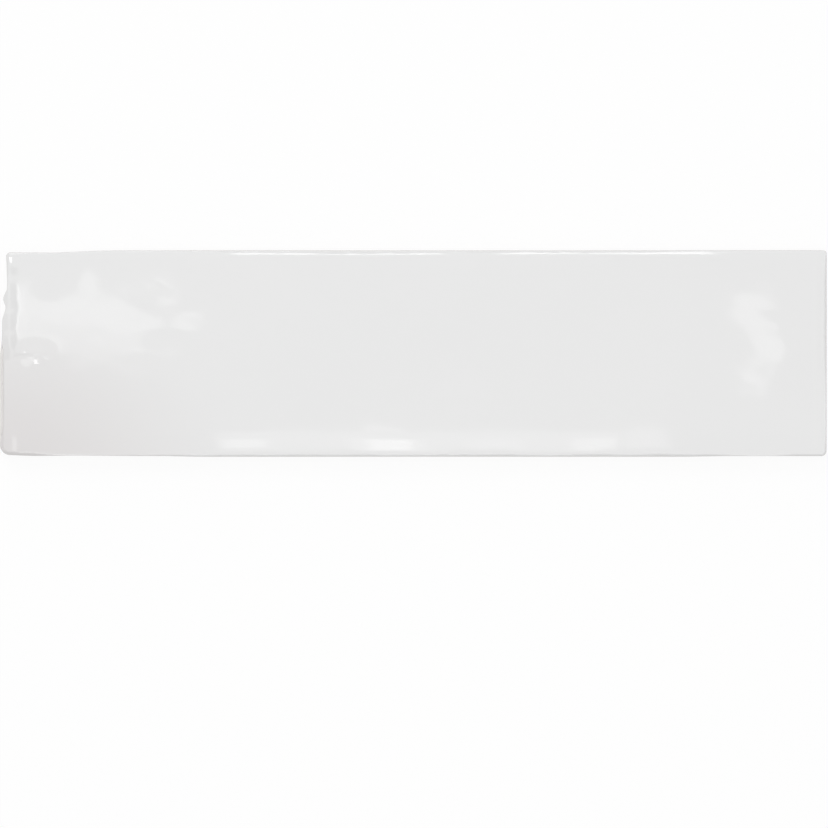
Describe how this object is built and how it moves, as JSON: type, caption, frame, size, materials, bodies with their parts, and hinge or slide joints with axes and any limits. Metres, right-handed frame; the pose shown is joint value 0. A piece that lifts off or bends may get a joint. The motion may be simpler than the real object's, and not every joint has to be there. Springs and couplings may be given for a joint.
{
  "type": "wall tile",
  "caption": "Long rectangular glazed ceramic wall tile with a gently wavy glossy face, loosely straight rolled edges and a ribbed back for adhesive.",
  "frame": {"origin": "middle of the flat plane of the back, which the rim and the keying ribs share and the tile rests on", "axes": "+X along the tile's length, towards its right end as seen on a wall; +Y across its width, towards its upper edge; +Z through its thickness, out of the glazed face"},
  "size_m": [0.3004, 0.0751, 0.0085],
  "materials": {
    "glaze": "gloss"
  },
  "bodies": {
    "root": {"wall_tile": "glaze"}
  },
  "joints": []
}
